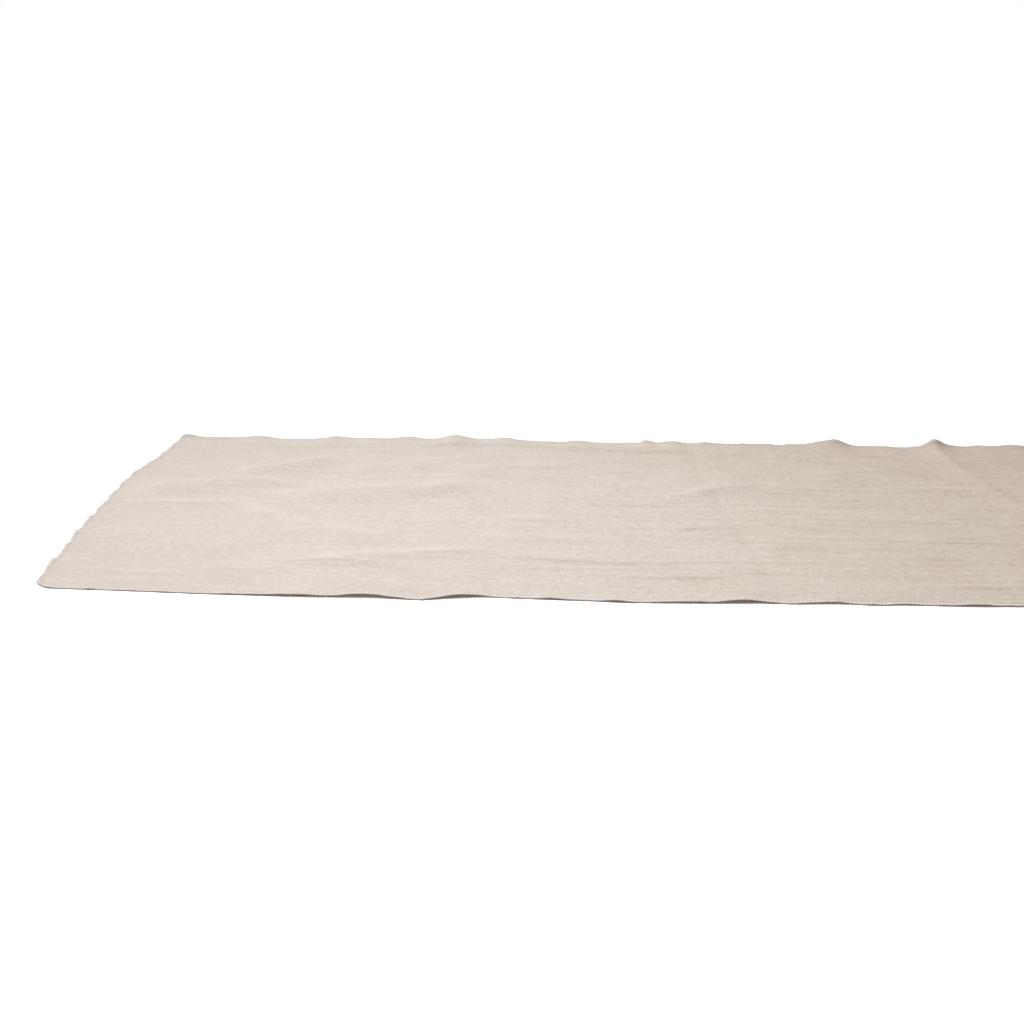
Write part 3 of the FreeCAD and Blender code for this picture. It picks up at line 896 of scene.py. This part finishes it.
def thread_material(name, dark, light):
    """Spun thread: matt, faintly fuzzy, and a little lighter and darker from loop to loop."""
    made = bpy.data.materials.new(name)
    made.use_nodes = True
    tree = made.node_tree
    shader = tree.nodes["Principled BSDF"]
    shader.inputs["Roughness"].default_value = 0.7
    shader.inputs["Specular IOR Level"].default_value = 0.3
    shader.inputs["Sheen Weight"].default_value = 0.15
    place = node(tree, "ShaderNodeTexCoord").outputs["Object"]
    tones = node(tree, "ShaderNodeValToRGB")
    tones.color_ramp.elements[0].position = 0.3
    tones.color_ramp.elements[0].color = dark
    tones.color_ramp.elements[1].position = 0.7
    tones.color_ramp.elements[1].color = light
    tree.links.new(noise(tree, place, 420.0, 2.0), tones.inputs[0])
    tree.links.new(tones.outputs[0], shader.inputs["Base Color"])
    plies = node(tree, "ShaderNodeBump")
    plies.inputs["Strength"].default_value = 0.5
    plies.inputs["Distance"].default_value = 0.00005
    tree.links.new(noise(tree, place, 5200.0, 1.0), plies.inputs["Height"])
    tree.links.new(plies.outputs[0], shader.inputs["Normal"])
    return made


needle_thread = thread_material("needle_thread", NEEDLE_THREAD_DARK, NEEDLE_THREAD_LIGHT)
looper_thread = thread_material("looper_thread", LOOPER_THREAD_DARK, LOOPER_THREAD_LIGHT)


def sewn(name, **inputs):
    """Sews one thread round the edge, and returns its stitches as a plain mesh."""
    path = edge_path(name + "_path")
    sewing = path.modifiers.new("stitching", "NODES")
    sewing.node_group = stitching
    values = {"Stitches": STITCH_COUNT, "Pitch": PERIMETER / STITCH_COUNT, **inputs}
    for item in stitching.interface.items_tree:
        if item.in_out == "INPUT" and item.name in values:
            sewing[item.identifier] = values[item.name]
    bpy.context.view_layer.update()
    evaluated = path.evaluated_get(bpy.context.evaluated_depsgraph_get())
    mesh = bpy.data.meshes.new_from_object(evaluated)
    mesh.name = name
    path.modifiers.remove(sewing)
    bpy.data.objects.remove(path)
    made = bpy.data.objects.new(name, mesh)
    bpy.context.collection.objects.link(made)
    return made


needle_stitches = sewn(
    "needle_stitches", Thread=needle_thread, Bends=NEEDLE_BENDS, Swing=0.0, Arch=0.00005, Lean=0.0,
    Unevenness=0.00003, Seed=11, **{"Above Middle": NEEDLE_SEAT_HEIGHT},
)
upper_loops = sewn("upper_looper_loops", Thread=looper_thread, Face=1.0, Lean=0.16, Seed=12)
lower_loops = sewn("lower_looper_loops", Thread=looper_thread, Face=-1.0, Lean=-0.16, Seed=13)

for stitches, cad_node in (
    (needle_stitches, "needle_thread"),
    (upper_loops, "upper_looper_thread"),
    (lower_loops, "lower_looper_thread"),
):
    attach(stitches, "root")
    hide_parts(cad_node)

# ---------------------------------------------------------------------------------------------
# Thread tail: where the overlock begins and ends, its three threads run off the cloth as a short
# chain, trimmed close to the near left corner.
# ---------------------------------------------------------------------------------------------
TAIL_TURNS = 2.5
TAIL_CURL_DEGREES = 115
TAIL_STRAND_RADIUS = 0.00021
TAIL_COIL_RADIUS = 0.00023
TAIL_RINGS = 28
TAIL_SIDES = 8
TAIL_START_SHIFT = (0.0003, 0, 0.0001)

tail_low, tail_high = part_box("thread_tail")
tail_length = tail_high.x - tail_low.x
tail_y = (tail_low.y + tail_high.y) / 2
left_end_places = np.array([place for (i, j), place in zip(loop, edge_places) if i == 0])
tail_root = left_end_places[np.argmin(np.abs(left_end_places[:, 1] - tail_y))] + TAIL_START_SHIFT
curl_radius = tail_length / math.radians(TAIL_CURL_DEGREES)

tail_vertices, tail_faces = [], []
for strand in range(3):
    start = len(tail_vertices)
    for ring in range(TAIL_RINGS + 1):
        share = ring / TAIL_RINGS
        curl = math.radians(TAIL_CURL_DEGREES) * share
        turn = 2 * math.pi * (TAIL_TURNS * share + strand / 3)
        outward = np.array([-math.sin(curl), 0, -math.cos(curl)])
        sideways = np.array([0, 1.0, 0])
        spine = tail_root + [-curl_radius * math.sin(curl), 0, curl_radius * (1 - math.cos(curl))]
        middle = spine + TAIL_COIL_RADIUS * (math.cos(turn) * sideways + math.sin(turn) * outward)
        size = TAIL_STRAND_RADIUS * (1 if ring not in (0, TAIL_RINGS) else 0.7)
        for side in range(TAIL_SIDES):
            angle = 2 * math.pi * side / TAIL_SIDES
            place = middle + size * (math.cos(angle) * sideways + math.sin(angle) * outward)
            tail_vertices.append([place[0], place[1], max(place[2], 0)])
    for ring in range(TAIL_RINGS):
        for side in range(TAIL_SIDES):
            here = start + ring * TAIL_SIDES + side
            beside = start + ring * TAIL_SIDES + (side + 1) % TAIL_SIDES
            tail_faces.append([here, beside, beside + TAIL_SIDES, here + TAIL_SIDES])
    tail_faces.append([start + side for side in reversed(range(TAIL_SIDES))])
    tail_faces.append([start + TAIL_RINGS * TAIL_SIDES + side for side in range(TAIL_SIDES)])

tail_mesh = bpy.data.meshes.new("trimmed_thread_tail")
tail_mesh.from_pydata(tail_vertices, [], tail_faces)
tail_mesh.shade_smooth()
tail_mesh.materials.append(looper_thread)
thread_tail = bpy.data.objects.new("trimmed_thread_tail", tail_mesh)
bpy.context.collection.objects.link(thread_tail)
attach(thread_tail, "root")
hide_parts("thread_tail")
